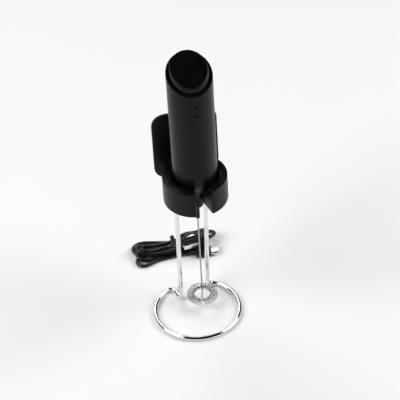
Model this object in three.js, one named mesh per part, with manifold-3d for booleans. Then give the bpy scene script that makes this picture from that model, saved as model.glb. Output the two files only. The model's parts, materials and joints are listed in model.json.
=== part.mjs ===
// A cordless milk frother on its wire stand, with its charging lead tied in a hank behind it.
// Millimetres, +Z up. The model is drawn about the frother's own axis and moved, at the end, so that
// the origin is the middle of the stand's footprint on the table. The front, where the slot in the
// holder opens and the two indicator lights are, faces -Y. The back plate faces +Y.
import * as THREE from 'three';
import { mergeVertices } from 'three/addons/utils/BufferGeometryUtils.js';
import Module from 'manifold-3d';

const wasm = await Module();
wasm.setup();

// ---------------------------------------------------------------- driving dimensions
const GAP = 0.3;                  // clear space between pieces that touch on the real object
const ROUND = 36;                 // facets round a large turned piece
const SMALL_ROUND = 20;           // facets round a small turned piece

// wire stand
const WIRE_R = 1.75;
const RING_R = 33;                // to the middle of the wire
const RING_X = -5.9;              // middle of the base ring, seen from the frother's axis
const RING_Y = -6.2;
const RING_FROM = 47;             // degrees round the ring where the right rod joins it
const RING_TO = -248;             // and where the wire turns inwards, going round by the front
const ROD_FOOT_LEFT = [-15.6, 7.7];
const ROD_FOOT_RIGHT = [8.9, 20.1];
const ROD_TOP_LEFT = [-12.2, 17.65];
const ROD_TOP_RIGHT = [11, 17.65];
const ROD_BEND = 5;
const SOCKET_DEPTH = 10;

// holder: slotted collar, arm and back plate in one moulding
const HOLDER_Z = 111;
const HOLDER_TOP = 132.4;
const HOLDER_R = 24.4;
const HOLDER_X = -0.5;            // middle of the collar's outer wall
const SEAT_R = 17.3;
const THROAT_R = 6.1;
const SLOT_LEFT = [3.2, 6.4];     // how far the slot reaches from the middle, inside and outside
const SLOT_RIGHT = [2.4, 7.8];
const PLATE_Y = 28;
const PLATE_T = 3;
const PLATE_W = 50;
const PLATE_TOP = 170;
const PLATE_CORNER = 10;
const ARM_HALF = 15;
const PAD_T = 0.9;

// handle
const NECK_Z = 102.8;
const NECK_R = 5.2;
const HANDLE_R = 16.8;            // where it leaves the collar
const HANDLE_TOP_R = 16.95;
const WALL = 2.4;
const RIM_INNER_R = 15.6;         // the rim round the cap
const SEAM_Z = 226.5;             // cap's lower edge on the axis
const SLANT = Math.tan(THREE.MathUtils.degToRad(26.5));
const SEAM = 0.9;                 // the rim lies this far below the seam plane
const CAP_R = 14.45;
const CAP_H = 3.8;
const CAP_FLAT_R = 13.4;
const LED_Z = [199.2, 207.1];
const PORT_Z = 182;

// drive and whisk
const MOTOR_Z = 131;
const MOTOR_R = 10;
const MOTOR_L = 27;
const SHAFT_R = 1;
const COUPLING_R = 2.4;
const PLUG_R = 1.7;
const PLUG_Z = 90;
const WHISK_Z = 10.9;
const WHISK_WIRE_R = 0.6;
const HOOP_R = 7.9;
const COIL_MAJOR = 9.15;
const COIL_MINOR = 2.6;
const COIL_WIRE_R = 0.25;
const COIL_TURNS = 38;

// charging lead
const CORD_R = 1.5;
const HANK_Z = [1.1, 9.2];

// ---------------------------------------------------------------- colours
const finish = (color, roughness, metalness) => ({ color, roughness, metalness });
const SATIN_BLACK = finish(0x1b1b1c, 0.42, 0);
const HOLDER_BLACK = finish(0x232324, 0.5, 0);
const CAP_BLACK = finish(0x101011, 0.45, 0);
const CHROME = finish(0xd8dadc, 0.12, 1);
const STEEL = finish(0xb4b6b8, 0.28, 1);
const BRASS = finish(0xb08d4a, 0.3, 1);
const NICKEL = finish(0xd5d3cc, 0.25, 1);
const RUBBER = finish(0x161616, 0.8, 0);
const CABLE_BLACK = finish(0x141414, 0.55, 0);
const BOARD_GREEN = finish(0x1d5a3a, 0.5, 0);
const CELL_BLUE = finish(0x2c5f9e, 0.4, 0);
const FOAM_GREY = finish(0x8f9195, 0.9, 0);
const LENS_SMOKE = finish(0x2a2c30, 0.15, 0);
const INNER_WHITE = finish(0xdadada, 0.6, 0);
const LEAD_RED = finish(0xa81f1f, 0.5, 0);

// ---------------------------------------------------------------- making solids
// A closed geometry with shared vertices, no flat triangles, and faces that point outwards.
function weld(geometry) {
  geometry.deleteAttribute('normal');
  geometry.deleteAttribute('uv');
  const merged = mergeVertices(geometry, 1e-4);
  const index = merged.index.array;
  const at = merged.attributes.position;
  const corner = [new THREE.Vector3(), new THREE.Vector3(), new THREE.Vector3()];
  const kept = [];
  let volume = 0;
  for (let i = 0; i < index.length; i += 3) {
    const [a, b, c] = [index[i], index[i + 1], index[i + 2]];
    if (a === b || b === c || c === a) continue;
    [a, b, c].forEach((vertex, k) => corner[k].fromBufferAttribute(at, vertex));
    volume += corner[0].dot(corner[1].cross(corner[2]));
    kept.push(a, b, c);
  }
  if (volume < 0) kept.reverse();
  merged.setIndex(kept);
  return merged;
}

function solid(geometry) {
  const closed = weld(geometry);
  return new wasm.Manifold(new wasm.Mesh({
    numProp: 3,
    vertProperties: new Float32Array(closed.attributes.position.array),
    triVerts: new Uint32Array(closed.index.array),
  }));
}

function fromSolid(manifold) {
  const mesh = manifold.getMesh();
  const geometry = new THREE.BufferGeometry();
  geometry.setAttribute('position', new THREE.BufferAttribute(mesh.vertProperties, 3));
  geometry.setIndex(new THREE.BufferAttribute(mesh.triVerts, 1));
  return geometry;
}

// Turned about the Z axis from [radius, height] pairs.
function turned(profile, facets = ROUND) {
  const points = profile.map(([r, z]) => new THREE.Vector2(r, z));
  const geometry = new THREE.LatheGeometry(points, facets);
  geometry.rotateX(Math.PI / 2);
  return weld(geometry);
}

// A plain ring or tube, turned.
function sleeve(inner, outer, low, high, facets = ROUND) {
  return turned([[inner, low], [outer, low], [outer, high], [inner, high], [inner, low]], facets);
}

function rod(radius, low, high, facets = SMALL_ROUND) {
  return turned([[0, low], [radius, low], [radius, high], [0, high]], facets);
}

function block(from, to) {
  const size = from.map((low, i) => to[i] - low);
  const geometry = new THREE.BoxGeometry(...size);
  geometry.translate(...from.map((low, i) => low + size[i] / 2));
  return weld(geometry);
}

// Leans a level piece over to the cap's slant and lifts it to the seam.
function slanted(geometry) {
  const lean = new THREE.Matrix4().set(1, 0, 0, 0, 0, 1, 0, 0, 0, SLANT, 1, SEAM_Z, 0, 0, 0, 1);
  geometry.applyMatrix4(lean);
  return geometry;
}

// A flat outline in XY, raised from one height to another.
function raised(shape, low, high, curveSegments = 8) {
  const geometry = new THREE.ExtrudeGeometry(shape, {
    depth: high - low, bevelEnabled: false, curveSegments,
  });
  geometry.translate(0, 0, low);
  return weld(geometry);
}

function roundedRectangle(width, height, corner) {
  const [x, y] = [width / 2, height / 2];
  const shape = new THREE.Shape();
  shape.absarc(x - corner, y - corner, corner, 0, Math.PI / 2);
  shape.absarc(corner - x, y - corner, corner, Math.PI / 2, Math.PI);
  shape.absarc(corner - x, corner - y, corner, Math.PI, 1.5 * Math.PI);
  shape.absarc(x - corner, corner - y, corner, 1.5 * Math.PI, 2 * Math.PI);
  return shape;
}

// ---------------------------------------------------------------- wires and cords
// A path with its own stations, so that a sweep has its steps where the wire bends.
class StationPath extends THREE.Curve {
  constructor(stations) {
    super();
    this.stations = stations;
  }

  get steps() {
    return this.stations.length - 1;
  }

  getPoint(t, target = new THREE.Vector3()) {
    const i = Math.min(Math.round(t * this.steps), this.steps);
    return target.copy(this.stations[i]);
  }

  getPointAt(u, target) {
    return this.getPoint(u, target);
  }

  getTangentAt(u, target = new THREE.Vector3()) {
    const i = Math.min(Math.round(u * this.steps), this.steps);
    const here = this.stations[i];
    const before = this.stations[Math.max(i - 1, 0)];
    const after = this.stations[Math.min(i + 1, this.steps)];
    const arriving = here.clone().sub(before).normalize();
    const leaving = after.clone().sub(here).normalize();
    return target.copy(arriving).add(leaving).normalize();
  }
}

const point = (x, y, z) => new THREE.Vector3(x, y, z);

// Rounds the corners of a line of points. Each corner is [point, bend radius].
function rounded(corners, arcSteps = 5) {
  const stations = [];
  corners.forEach(([here, radius], i) => {
    if (!radius || i === 0 || i === corners.length - 1) {
      stations.push(here);
      return;
    }
    const back = corners[i - 1][0].clone().sub(here).normalize();
    const ahead = corners[i + 1][0].clone().sub(here).normalize();
    const half = back.angleTo(ahead) / 2;
    const reach = radius / Math.tan(half);
    const start = here.clone().addScaledVector(back, reach);
    const end = here.clone().addScaledVector(ahead, reach);
    const middle = back.clone().add(ahead).normalize();
    const centre = here.clone().addScaledVector(middle, radius / Math.sin(half));
    const from = start.sub(centre);
    const across = end.sub(centre);
    const sweep = from.angleTo(across);
    for (let k = 0; k <= arcSteps; k++) {
      const t = k / arcSteps;
      const a = Math.sin((1 - t) * sweep) / Math.sin(sweep);
      const b = Math.sin(t * sweep) / Math.sin(sweep);
      stations.push(centre.clone().addScaledVector(from, a).addScaledVector(across, b));
    }
  });
  return stations;
}

// A round wire along stations. flatAt names a station where one facet faces straight down.
function swept(stations, radius, sides, flatAt = null) {
  const path = new StationPath(stations);
  let turn = 0;
  if (flatAt !== null) {
    const frames = path.computeFrenetFrames(path.steps, false);
    turn = Math.atan2(-frames.binormals[flatAt].z, -frames.normals[flatAt].z);
  }
  const reach = radius / Math.cos(Math.PI / sides);
  const section = new THREE.Shape(Array.from({ length: sides }, (_, k) => {
    const angle = turn + (k + 0.5) * 2 * Math.PI / sides;
    return new THREE.Vector2(reach * Math.cos(angle), reach * Math.sin(angle));
  }));
  return weld(new THREE.ExtrudeGeometry(section, {
    steps: path.steps, extrudePath: path, bevelEnabled: false,
  }));
}

// ---------------------------------------------------------------- the assembly
const assembly = new THREE.Group();

function add(name, geometry, look) {
  const mesh = new THREE.Mesh(geometry, new THREE.MeshStandardMaterial(look));
  mesh.name = name;
  assembly.add(mesh);
  return mesh;
}

const onRing = (degrees, radius = RING_R) => {
  const angle = THREE.MathUtils.degToRad(degrees);
  return point(RING_X + radius * Math.cos(angle), RING_Y + radius * Math.sin(angle), WIRE_R);
};

// The rods lean a little, from feet set apart on the table to sockets set square in the holder.
function rodLine(foot, top) {
  const low = point(foot[0], foot[1], WIRE_R);
  const mouth = point(top[0], top[1], HOLDER_Z);
  const direction = mouth.clone().sub(low).normalize();
  const end = mouth.clone().addScaledVector(direction, SOCKET_DEPTH - GAP);
  return { low, mouth, direction, end };
}

const LEFT_ROD = rodLine(ROD_FOOT_LEFT, ROD_TOP_LEFT);
const RIGHT_ROD = rodLine(ROD_FOOT_RIGHT, ROD_TOP_RIGHT);

function wireStand() {
  const corners = [[RIGHT_ROD.end, 0], [RIGHT_ROD.low, ROD_BEND], [onRing(RING_FROM), 8]];
  const ringSteps = 36;
  const first = RING_FROM - 10;
  for (let i = 0; i <= ringSteps; i++) {
    corners.push([onRing(first + (RING_TO + 12 - first) * i / ringSteps), 0]);
  }
  const middle = 10 + ringSteps / 2;
  corners.push([onRing(RING_TO), 4.5], [LEFT_ROD.low, ROD_BEND], [LEFT_ROD.end, 0]);
  return swept(rounded(corners), WIRE_R, 10, middle);
}

function socket({ mouth, direction }) {
  const length = SOCKET_DEPTH + 5;
  const hole = new THREE.CylinderGeometry(WIRE_R + GAP, WIRE_R + GAP, length, SMALL_ROUND);
  hole.translate(0, length / 2 - 5, 0);
  hole.applyQuaternion(new THREE.Quaternion().setFromUnitVectors(point(0, 1, 0), direction));
  hole.translate(...mouth);
  return solid(hole);
}

// The collar's bore: a straight seat, a bowl that carries the handle's shoulder, and a throat.
function bore() {
  const over = 5;
  return solid(turned([
    [0, HOLDER_Z - over], [THROAT_R, HOLDER_Z - over], [THROAT_R, HOLDER_Z + 1],
    [6.4, 115], [7, 117], [8.3, 119.3], [10.3, 121.7], [12.5, 124], [14.3, 126.6],
    [15.8, 129.2], [SEAT_R, 131.6],
    [SEAT_R, HOLDER_TOP + over], [0, HOLDER_TOP + over],
  ]));
}

function slotTool() {
  const shape = new THREE.Shape([
    new THREE.Vector2(-SLOT_LEFT[0], 0),
    new THREE.Vector2(-SLOT_LEFT[0], -9),
    new THREE.Vector2(-SLOT_LEFT[1], -HOLDER_R - 3),
    new THREE.Vector2(SLOT_RIGHT[1], -HOLDER_R - 3),
    new THREE.Vector2(SLOT_RIGHT[0], -9),
    new THREE.Vector2(SLOT_RIGHT[0], 0),
  ]);
  return solid(raised(shape, HOLDER_Z - 5, HOLDER_TOP + 5));
}

function backPlate(width, low, high, front, thickness, corner) {
  const geometry = raised(roundedRectangle(width, high - low, corner), 0, thickness);
  geometry.rotateX(Math.PI / 2);
  geometry.translate(0, front + thickness, (low + high) / 2);
  return geometry;
}

function standHolder() {
  const outer = turned([
    [0, HOLDER_Z], [HOLDER_R - 0.6, HOLDER_Z], [HOLDER_R, HOLDER_Z + 0.6],
    [HOLDER_R, HOLDER_TOP - 1.2], [HOLDER_R - 1.2, HOLDER_TOP], [0, HOLDER_TOP],
  ], 48);
  const collar = solid(outer.translate(HOLDER_X, 0, 0));
  const arm = solid(block([-ARM_HALF, 14, HOLDER_Z], [ARM_HALF, PLATE_Y + 1, HOLDER_TOP]));
  const plate = solid(backPlate(PLATE_W, HOLDER_Z, PLATE_TOP, PLATE_Y, PLATE_T, PLATE_CORNER));
  const body = collar.add(arm).add(plate);
  const holes = bore().add(slotTool()).add(socket(LEFT_ROD)).add(socket(RIGHT_ROD));
  return fromSolid(body.subtract(holes));
}

function adhesivePad() {
  const margin = 3;
  const front = PLATE_Y + PLATE_T + GAP;
  const [low, high] = [HOLDER_Z + margin, PLATE_TOP - margin];
  return backPlate(PLATE_W - 2 * margin, low, high, front, PAD_T, PLATE_CORNER - margin);
}

add('wire_stand', wireStand(), CHROME);
add('stand_holder', standHolder(), HOLDER_BLACK);
add('adhesive_pad', adhesivePad(), FOAM_GREY);

// ---------------------------------------------------------------- handle
// The outer line of the handle, from the nose up to a height above the slanted cut.
const HANDLE_LINE = [
  [4.4, NECK_Z], [NECK_R, NECK_Z + 1.4], [5.4, 110], [6.1, 116.5], [7.2, 119.5], [9, 122],
  [11.4, 124.6], [13.2, 127], [15, 130], [16.3, 134], [HANDLE_R, 140], [HANDLE_TOP_R, 226],
];
const INNER_LINE = [
  [3.9, NECK_Z - 5], [3.9, 115.5], [4.4, 118.5], [6.4, 121.6], [9, 124.6], [11.4, 128],
  [13, 131.6], [HANDLE_R - WALL, 137], [HANDLE_TOP_R - WALL, 226], [HANDLE_TOP_R - WALL, 260],
];

// A hole through the wall, along Y, from a flat outline seen along Y.
function wallHole(shape, x, z, from, to) {
  const geometry = raised(shape, 0, to - from);
  geometry.rotateX(Math.PI / 2);
  geometry.translate(x, to, z);
  return solid(geometry);
}

function circle(radius) {
  return new THREE.Shape().absarc(0, 0, radius, 0, 2 * Math.PI);
}

function housing() {
  const top = [HANDLE_TOP_R, 250];
  const outer = solid(turned([[0, NECK_Z], ...HANDLE_LINE, top, [0, 250]]));
  const inner = solid(turned([[0, NECK_Z - 5], ...INNER_LINE, [0, 260]]));
  const above = solid(slanted(rod(40, -SEAM, 60)));
  const recess = solid(slanted(rod(RIM_INNER_R, -4.2, 60, ROUND)));
  let shell = outer.subtract(inner).subtract(above).subtract(recess);
  for (const z of LED_Z) shell = shell.subtract(wallHole(circle(1.1), 0, z, -20, -10));
  return fromSolid(shell.subtract(wallHole(roundedRectangle(9.8, 4, 1.9), 0, PORT_Z, 10, 20)));
}

// The cap fills the slanted end of the handle, inside its rim. Its skirt guides it down the tube.
function buttonCap() {
  return slanted(turned([
    [0, -3.2], [2, -3.2], [2, 1], [11.2, 1], [11.2, -5], [12.6, -5], [12.6, -2],
    [CAP_R, -2], [CAP_R, 0.4], [14.2, 1.8], [13.8, 3.3], [CAP_FLAT_R, CAP_H], [0, CAP_H],
  ]));
}

function chassis() {
  const rails = solid(sleeve(13, 14.1, 160, 214, 40));
  const window = solid(block([-9.5, -20, 161.5], [9.5, 20, 220]));
  const floor = solid(rod(14.1, 160, 161.6, 40));
  const frontCut = solid(block([-20, -20, 150], [20, -8.7, 230]));
  return fromSolid(rails.subtract(window).add(floor).subtract(frontCut));
}

function batteryTab(z, side) {
  return block([-3, 1, z], [3, 1 + side, z + 0.4]);
}

add('housing', housing(), SATIN_BLACK);
add('button_cap', buttonCap(), CAP_BLACK);
add('button_gasket', slanted(sleeve(13, 14.2, -4.6, -3)), RUBBER);
add('switch_board', slanted(rod(12.4, -8.2, -7.2, 32)), BOARD_GREEN);
add('tact_switch', slanted(turned([
  [0, -6.9], [3.2, -6.9], [3.2, -4.8], [1.7, -4.8], [1.7, -4.1], [0, -4.1],
], 16)), STEEL);
add('chassis', chassis(), INNER_WHITE);

const CELL_Y = -0.5;
const CELL_Z = [163.3, 213];
const cell = turned([
  [0, CELL_Z[0]], [6.6, CELL_Z[0]], [7, CELL_Z[0] + 0.5], [7, CELL_Z[1] - 1.5],
  [6.5, CELL_Z[1] - 1], [2.5, CELL_Z[1] - 1], [2.5, CELL_Z[1]], [0, CELL_Z[1]],
], 28);
cell.translate(0, CELL_Y, 0);
add('battery_cell', cell, CELL_BLUE);
add('battery_tab_negative', batteryTab(CELL_Z[0] - 0.8, 6), NICKEL);
add('battery_tab_positive', batteryTab(CELL_Z[1] + GAP, 6), NICKEL);
add('main_board', block([-7.6, -9.6, 165], [7.6, -8.4, 212]), BOARD_GREEN);
add('charge_board', block([-6, 7.4, 172], [6, 8.4, 192]), BOARD_GREEN);

// A USB-C receptacle that faces the back, flush in the wall's opening.
function usbPort() {
  const body = solid(raised(roundedRectangle(9, 3.2, 1.5), 0, 6.6));
  const mouth = solid(raised(roundedRectangle(8.4, 2.6, 1.25), -1, 5.6));
  const tongue = solid(block([-3.3, -0.35, 1], [3.3, 0.35, 6]));
  const geometry = fromSolid(body.subtract(mouth).add(tongue));
  geometry.rotateX(Math.PI / 2);
  geometry.translate(0, 16.3, PORT_Z);
  return geometry;
}
add('usb_c_port', usbPort(), NICKEL);

['led_lens_lower', 'led_lens_upper'].forEach((name, i) => {
  const lens = rod(0.8, 0, 5.6, 16);
  lens.rotateX(Math.PI / 2);
  lens.translate(0, -11, LED_Z[i]);
  add(name, lens, LENS_SMOKE);
});

// ---------------------------------------------------------------- motor
const MOTOR_TOP = MOTOR_Z + MOTOR_L;
add('motor_can', turned([
  [1.5, MOTOR_Z - 2.6], [3, MOTOR_Z - 2.6], [3, MOTOR_Z], [MOTOR_R - 0.6, MOTOR_Z],
  [MOTOR_R, MOTOR_Z + 0.6], [MOTOR_R, MOTOR_TOP - 2.5], [MOTOR_R - 1, MOTOR_TOP - 2.5],
  [MOTOR_R - 1, MOTOR_Z + 1], [1.5, MOTOR_Z + 1], [1.5, MOTOR_Z - 2.6],
], 36), STEEL);
add('motor_end_cap', turned([
  [0, MOTOR_TOP - 0.5], [1.4, MOTOR_TOP - 0.5], [1.4, MOTOR_TOP - 4.4], [3, MOTOR_TOP - 4.4],
  [3, MOTOR_TOP - 2.2], [MOTOR_R, MOTOR_TOP - 2.2], [MOTOR_R, MOTOR_TOP], [0, MOTOR_TOP],
], 36), INNER_WHITE);
add('motor_cushion', sleeve(MOTOR_R + GAP, 12.2, 137.5, 154, 36), RUBBER);
add('motor_rotor', sleeve(SHAFT_R + GAP, 7.4, MOTOR_Z + 4, MOTOR_TOP - 8, 24), STEEL);
add('motor_magnets', sleeve(7.8, 8.7, MOTOR_Z + 3, MOTOR_TOP - 7, 24), RUBBER);
add('motor_shaft', rod(SHAFT_R, 112.4, MOTOR_TOP - 0.9, 14), STEEL);
add('drive_coupling', turned([
  [0, 111.3], [1.5, 111.3], [1.5, 104.4], [COUPLING_R, 104.4], [COUPLING_R, 118],
  [1.3, 118], [1.3, 112.1], [0, 112.1],
], SMALL_ROUND), BRASS);
add('neck_bush', sleeve(COUPLING_R + GAP, 3.6, 108, 113.5, 28), BRASS);
add('neck_seal', sleeve(COUPLING_R + 0.2, 3.6, 104.6, 106.8, 28), RUBBER);

// Two leads from the board, in front of the chassis floor, to the motor's terminals.
[['motor_lead_red', 3.2, LEAD_RED], ['motor_lead_black', -3.2, RUBBER]].forEach(([name, x, look]) => {
  const route = rounded([
    [point(x, -10.7, 172), 0], [point(x, -10.7, MOTOR_TOP + 1.1), 1.2],
    [point(x, -5, MOTOR_TOP + 1.1), 0],
  ], 3);
  add(name, swept(route, 0.4, 6), look);
});

// ---------------------------------------------------------------- whisk
add('whisk_plug', turned([
  [0, 99.3], [WHISK_WIRE_R + GAP, 99.3], [WHISK_WIRE_R + GAP, PLUG_Z], [1.35, PLUG_Z],
  [PLUG_R, PLUG_Z + 0.5], [PLUG_R, 103.1], [1.5, 103.5], [1.2, 103.6], [1.2, 110.6],
  [0.9, 110.9], [0, 110.9],
], SMALL_ROUND), RUBBER);

const onHoop = (degrees, z = WHISK_Z, radius = HOOP_R) => {
  const angle = THREE.MathUtils.degToRad(degrees);
  return point(radius * Math.cos(angle), radius * Math.sin(angle), z);
};

// One wire: down the axis, out along a sloping leg, and once round the hoop.
function whiskShaft() {
  const first = -100;
  const corners = [[point(0, 0, 99), 0], [point(0, 0, 18.5), 2.5], [onHoop(first), 1.4]];
  const steps = 28;
  for (let i = 1; i <= steps; i++) corners.push([onHoop(first + 15 + 332 * i / steps), 0]);
  return swept(rounded(corners, 3), WHISK_WIRE_R, 8);
}

// A fine spring wound round the hoop.
function whiskCoil() {
  const perTurn = 8;
  const stations = [];
  const [from, sweep] = [-88, 335];
  for (let i = 0; i <= COIL_TURNS * perTurn; i++) {
    const along = THREE.MathUtils.degToRad(from + sweep * i / (COIL_TURNS * perTurn));
    const round = 2 * Math.PI * i / perTurn;
    const r = COIL_MAJOR - COIL_MINOR * Math.cos(round);
    const z = WHISK_Z + COIL_MINOR * Math.sin(round);
    stations.push(point(r * Math.cos(along), r * Math.sin(along), z));
  }
  return swept(stations, COIL_WIRE_R, 4);
}

add('whisk_shaft', whiskShaft(), STEEL);
add('whisk_coil', whiskCoil(), STEEL);

// ---------------------------------------------------------------- charging lead
// The large plug is tucked into the hank, the small one lies along its front edge.
const PLUG_A = { position: [-0.9, 63.8, 8.8], yaw: 185 };
const PLUG_C = { position: [27.1, 54.8, 2.9], yaw: -7 };

// A piece drawn along +X, with the mouth of a plug's metal shell at x = 0, put where that plug lies.
function placed(geometry, { position, yaw }) {
  geometry.rotateZ(THREE.MathUtils.degToRad(yaw));
  geometry.translate(...position);
  return geometry;
}

// The outline of the tied hank: two lobes of loops at the left, one at the right.
function hankOutline() {
  const shape = new THREE.Shape();
  shape.absarc(-33.5, 60.5, 7.7, Math.PI, 1.6 * Math.PI);
  shape.lineTo(-8, 58.4);
  shape.absarc(16.6, 66.4, 9.8, 1.5 * Math.PI, 2.5 * Math.PI);
  shape.lineTo(-8, 75.6);
  shape.absarc(-33, 73.2, 7.8, 0.5 * Math.PI, Math.PI);
  return shape;
}

// The hank is hollowed where the plugs and the small plug's free end lie in it.
function cableHank() {
  const room = [
    placed(block([-33, -20, -8], [12, 5.8, 3.8]), PLUG_C),
    placed(block([-31, -7.6, -3.7], [1.6, 13, 12]), PLUG_A),
  ];
  const hollow = room.map(solid).reduce((all, each) => all.add(each));
  return fromSolid(solid(raised(hankOutline(), ...HANK_Z, 10)).subtract(hollow));
}

function cableTie() {
  const [low, high] = [0, HANK_Z[1] + 1.1];
  const [width, wall] = [20.4, 0.8];
  const outline = roundedRectangle(width, high - low, 2.2);
  outline.holes.push(roundedRectangle(width - 2 * wall, high - low - 2 * wall, 1.4));
  const geometry = raised(outline, 0, 3, 4);
  geometry.rotateX(Math.PI / 2);
  geometry.rotateZ(Math.PI / 2);
  geometry.translate(-8, 67, (low + high) / 2);
  return geometry;
}

function along(shape, from, to, segments = 4) {
  const geometry = raised(shape, from, to, segments);
  geometry.rotateX(Math.PI / 2);
  geometry.rotateZ(Math.PI / 2);
  return geometry;
}

function plugShell(width, thickness, corner, length, wall) {
  const body = solid(along(roundedRectangle(width, thickness, corner), -length, 0));
  const inside = roundedRectangle(width - 2 * wall, thickness - 2 * wall, Math.max(corner - wall, 0.2));
  return fromSolid(body.subtract(solid(along(inside, 0.6 - length, 1))));
}

const PLUG_A_PARTS = [
  ['usb_a_shell', plugShell(12, 4.5, 0.4, 12, 0.35), NICKEL],
  ['usb_a_tongue', block([-10.5, -5, 0.1], [-0.8, 5, 1.5]), INNER_WHITE],
  ['usb_a_overmould', along(roundedRectangle(13.4, 6, 2), -20.4, -12 - GAP), CABLE_BLACK],
  ['usb_a_strain_relief', along(circle(2.2), -22.9, -20.4 - GAP, 12), CABLE_BLACK],
];
const PLUG_C_PARTS = [
  ['usb_c_shell', plugShell(8.34, 2.56, 1.25, 6.6, 0.3), NICKEL],
  ['usb_c_tongue', block([-5.8, -3.2, -0.35], [-0.9, 3.2, 0.35]), RUBBER],
  ['usb_c_overmould', along(roundedRectangle(10.6, 5.2, 2), -19, -6.6 - GAP), CABLE_BLACK],
  ['usb_c_strain_relief', along(circle(2.1), -23, -19 - GAP, 12), CABLE_BLACK],
];
for (const [name, geometry, look] of PLUG_A_PARTS) add(name, placed(geometry, PLUG_A), look);
for (const [name, geometry, look] of PLUG_C_PARTS) add(name, placed(geometry, PLUG_C), look);

// The short free ends between the hank and the plugs.
const LEAD_C = [
  point(3.9, 57.7, 2.9), point(1.5, 58, 2.8), point(-1, 58.3, 2.7), point(-4, 58.6, 2.6),
];
const LEAD_A = [
  point(22.6, 65.8, 8.8), point(24.8, 66.6, 8.6), point(26.6, 68.3, 8.1), point(27.6, 70.7, 7.3),
  point(27.5, 73.3, 6.2), point(26.3, 75.6, 5.1), point(24.2, 77.2, 4), point(21.7, 77.8, 3.1),
  point(19.2, 77.6, 2.5),
];
add('cable_lead_a', swept(LEAD_A, CORD_R, 8), CABLE_BLACK);
add('cable_lead_c', swept(LEAD_C, CORD_R, 8), CABLE_BLACK);
add('cable_hank', cableHank(), CABLE_BLACK);
add('cable_tie', cableTie(), RUBBER);

// ---------------------------------------------------------------- the row's frame
const back = PLATE_Y + PLATE_T + GAP + PAD_T;
const front = RING_Y - RING_R - WIRE_R / Math.cos(Math.PI / 10);
assembly.position.set(-RING_X, -(front + back) / 2, 0);

export default assembly;
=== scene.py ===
"""A cordless milk frother on its wire stand, with its charging lead tied in a hank behind it."""
import json
import math
from collections import namedtuple

import bmesh
import bpy
import numpy as np
from mathutils import Matrix, Vector

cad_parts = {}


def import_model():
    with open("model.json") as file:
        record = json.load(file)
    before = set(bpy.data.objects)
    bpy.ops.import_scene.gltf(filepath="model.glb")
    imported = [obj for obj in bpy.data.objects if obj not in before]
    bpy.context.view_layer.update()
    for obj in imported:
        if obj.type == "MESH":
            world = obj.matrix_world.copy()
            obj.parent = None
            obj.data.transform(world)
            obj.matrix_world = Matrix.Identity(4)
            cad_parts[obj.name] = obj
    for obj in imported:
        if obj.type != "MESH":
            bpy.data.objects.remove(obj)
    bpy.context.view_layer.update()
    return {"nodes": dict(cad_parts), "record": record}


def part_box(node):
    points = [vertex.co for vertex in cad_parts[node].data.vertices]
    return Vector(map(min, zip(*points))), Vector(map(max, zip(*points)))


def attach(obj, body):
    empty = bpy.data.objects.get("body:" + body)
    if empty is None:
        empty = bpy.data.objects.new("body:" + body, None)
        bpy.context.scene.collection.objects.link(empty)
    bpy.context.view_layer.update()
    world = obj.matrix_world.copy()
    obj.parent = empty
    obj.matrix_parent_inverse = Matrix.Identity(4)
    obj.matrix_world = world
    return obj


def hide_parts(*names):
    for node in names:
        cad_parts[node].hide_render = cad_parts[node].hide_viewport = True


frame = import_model()

MM = 0.001

# ---------------------------------------------------------------- places, from the frame
def middle(node):
    low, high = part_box(node)
    return (low + high) / 2


AXIS_X, AXIS_Y = middle("motor_can").xy / MM      # the frother's own axis, in millimetres


def world(points):
    """Points drawn in millimetres about the frother's axis, in metres in the row frame."""
    return (np.array(points, float) + [AXIS_X, AXIS_Y, 0]) * MM


# ---------------------------------------------------------------- camera
EYE = Vector((-0.22913, -1.11298, 1.08132))
HEADING = math.radians(12)
DOWN = math.radians(40.47)
ROLL = math.radians(-3.42)
LENS = 180
SENSOR = 36
VIEW_END = 20


def make_camera():
    ahead = Vector((math.sin(HEADING) * math.cos(DOWN), math.cos(HEADING) * math.cos(DOWN),
                    -math.sin(DOWN)))
    level = Vector((math.cos(HEADING), -math.sin(HEADING), 0))
    upright = level.cross(ahead)
    right = math.cos(ROLL) * level + math.sin(ROLL) * upright
    up = -math.sin(ROLL) * level + math.cos(ROLL) * upright
    data = bpy.data.cameras.new("camera")
    data.lens = LENS
    data.sensor_width = SENSOR
    data.clip_end = VIEW_END
    camera = bpy.data.objects.new("camera", data)
    turn = Matrix((right, up, -ahead)).transposed().to_4x4()
    camera.matrix_world = Matrix.Translation(EYE) @ turn
    bpy.context.scene.collection.objects.link(camera)
    bpy.context.scene.camera = camera


make_camera()

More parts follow.
